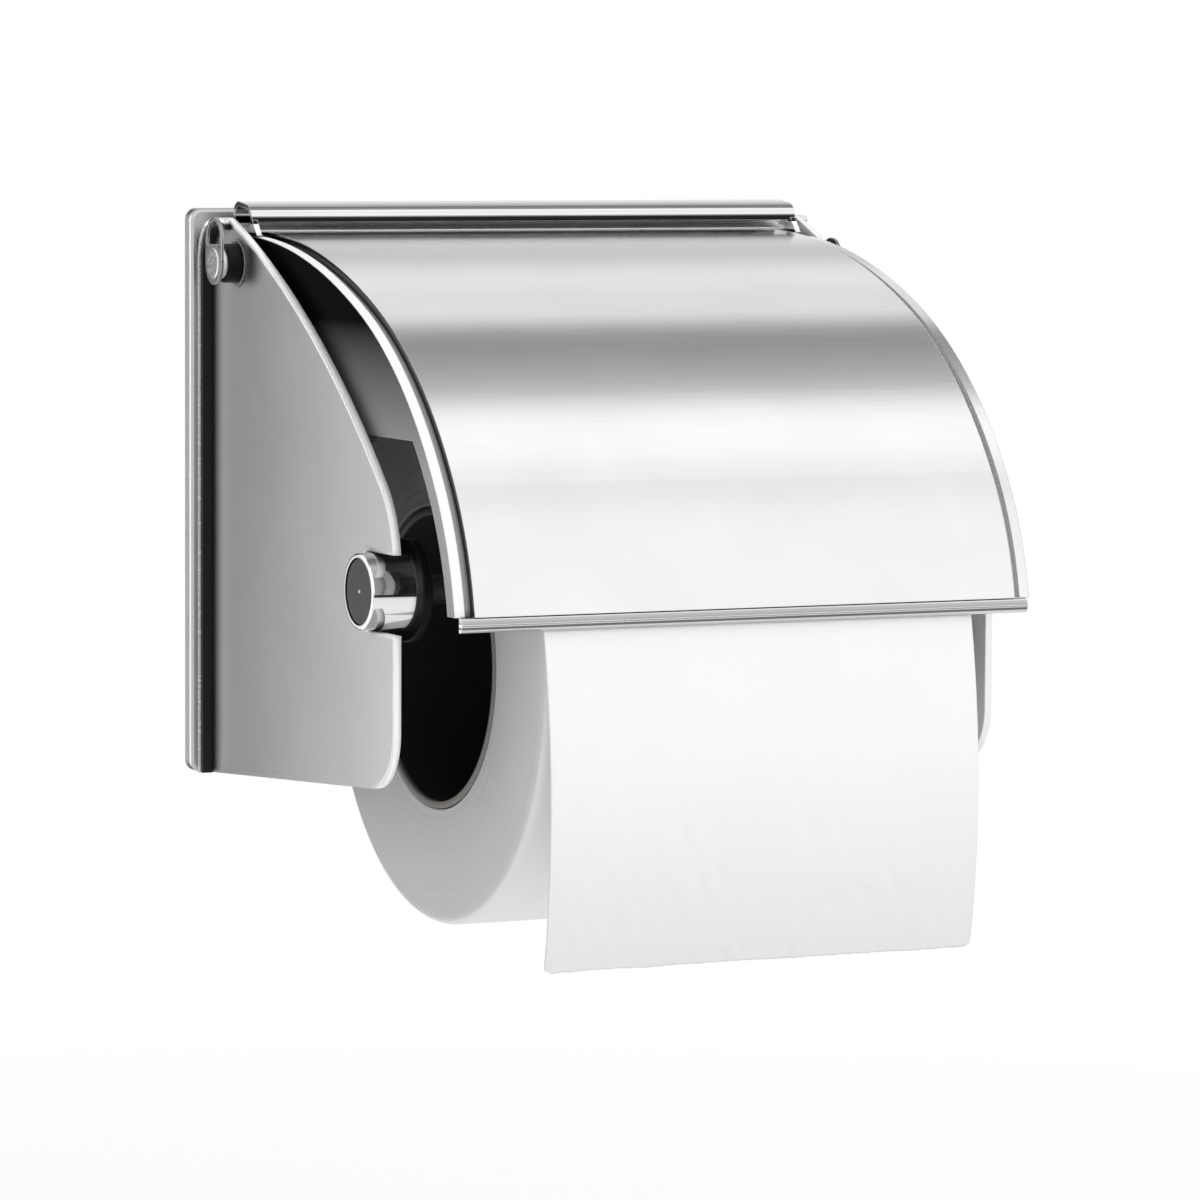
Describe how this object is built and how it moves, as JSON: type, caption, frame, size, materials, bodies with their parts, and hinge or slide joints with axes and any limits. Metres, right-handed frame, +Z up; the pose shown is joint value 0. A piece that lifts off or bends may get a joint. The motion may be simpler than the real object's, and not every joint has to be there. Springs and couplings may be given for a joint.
{
  "type": "tissue roll dispenser",
  "caption": "Wall-mounted tissue roll dispenser: a steel plate with two cheeks carries a hinged curved hood over a paper roll that hangs on a removable rod.",
  "frame": {"origin": "centre of the wall plate on its back, which lies on the wall", "axes": "+X to the right seen from the front, +Y into the wall, +Z up"},
  "size_m": [0.1472, 0.1271, 0.1506],
  "materials": {
    "plate_steel": "pressed stainless sheet, satin",
    "cheek_steel": "stainless sheet, fine satin grain, polished edges",
    "rim_steel": "bright narrow steel strip",
    "seal_rubber": "black rubber strip, dull",
    "hood_steel": "stainless sheet, satin to bright",
    "ear_steel": "stainless plate, polished edges",
    "pin_steel": "turned steel, satin",
    "bush_plastic": "black moulded plastic, matt",
    "fixing_steel": "plain steel fixings",
    "knob_chrome": "polished chrome",
    "button_plastic": "dark grey moulded plastic, matt",
    "rod_plastic": "black moulded plastic tube, smooth",
    "tissue_paper": "soft white tissue paper",
    "core_board": "grey-brown wound cardboard"
  },
  "bodies": {
    "frame": {"wall_plate": "plate_steel", "cheek_rivets": "fixing_steel", "pivot_washers": "fixing_steel", "pivot_spacers": "bush_plastic", "pivot_push_nuts": "fixing_steel", "left_cheek": "cheek_steel", "left_cheek_rim": "rim_steel", "left_cheek_seal": "seal_rubber", "left_pivot_pin": "pin_steel", "left_pivot_bush": "bush_plastic", "left_pivot_clip": "fixing_steel", "right_cheek": "cheek_steel", "right_cheek_rim": "rim_steel", "right_cheek_seal": "seal_rubber", "right_pivot_pin": "pin_steel", "right_pivot_bush": "bush_plastic", "right_pivot_clip": "fixing_steel"},
    "hood": {"hood_cover": "hood_steel", "left_hood_ear": "ear_steel", "right_hood_ear": "ear_steel"},
    "spindle": {"spindle_rod": "rod_plastic", "spindle_knob": "knob_chrome", "spindle_end_knob": "knob_chrome", "left_spindle_collar": "bush_plastic", "right_spindle_collar": "bush_plastic"},
    "button": {"spindle_button": "button_plastic"},
    "roll": {"tissue_roll": "tissue_paper", "roll_core": "core_board"},
    "tail": {"tissue_tail": "tissue_paper"}
  },
  "joints": [
    {"name": "hood_hinge", "type": "hinge", "parent": "frame", "child": "hood", "pos_m": [0, -0.02, 0.0492], "axis": [-1, 0, 0], "range_deg": [0, 110]},
    {"name": "spindle_turn", "type": "hinge", "parent": "frame", "child": "spindle", "pos_m": [0, -0.092, -0.0144], "axis": [1, 0, 0], "continuous": true},
    {"name": "button_press", "type": "slide", "parent": "spindle", "child": "button", "axis": [1, 0, 0], "range_m": [0, 0.0015], "stiffness_N_per_m": 400, "springref_m": -0.0015},
    {"name": "roll_turn", "type": "hinge", "parent": "frame", "child": "roll", "pos_m": [0, -0.0712, -0.03058], "axis": [1, 0, 0], "continuous": true},
    {"name": "tail_swing", "type": "hinge", "parent": "frame", "child": "tail", "pos_m": [0, -0.1263, -0.03058], "axis": [-1, 0, 0], "range_deg": [0, 20]}
  ]
}
